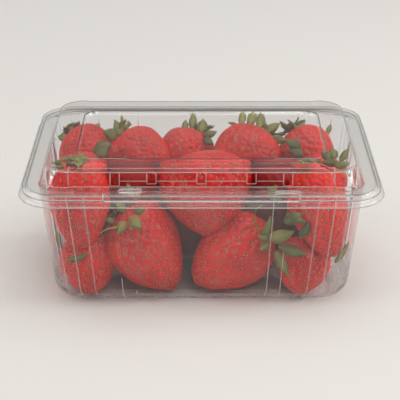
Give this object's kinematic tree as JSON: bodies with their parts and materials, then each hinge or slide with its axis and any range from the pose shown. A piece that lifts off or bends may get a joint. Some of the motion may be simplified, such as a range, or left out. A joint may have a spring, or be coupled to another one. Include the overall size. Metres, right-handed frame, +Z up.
{
  "type": "punnet of strawberries",
  "caption": "Clear hinged clamshell punnet with a vented shallow lid, a fluted tub and a heap of fresh strawberries inside.",
  "frame": {"origin": "centre of the punnet's outline, at the level of its base", "axes": "+X along the width, the lid's opening edge faces -Y and its hinge lies at +Y, +Z up"},
  "size_m": [0.1868, 0.1295, 0.078],
  "materials": {
    "clear_plastic": "clear thin formed plastic, glossy, faintly hazy",
    "strawberry": "red seeded fruit skin with a soft shine, green leaves"
  },
  "bodies": {
    "tub": {"tub": "clear_plastic", "strawberries": "strawberry"},
    "lid": {"lid": "clear_plastic"}
  },
  "joints": [
    {"name": "lid_hinge", "type": "hinge", "parent": "tub", "child": "lid", "pos_m": [0, 0.06515, 0.06645], "axis": [-1, 0, 0], "range_deg": [0, 180]}
  ]
}
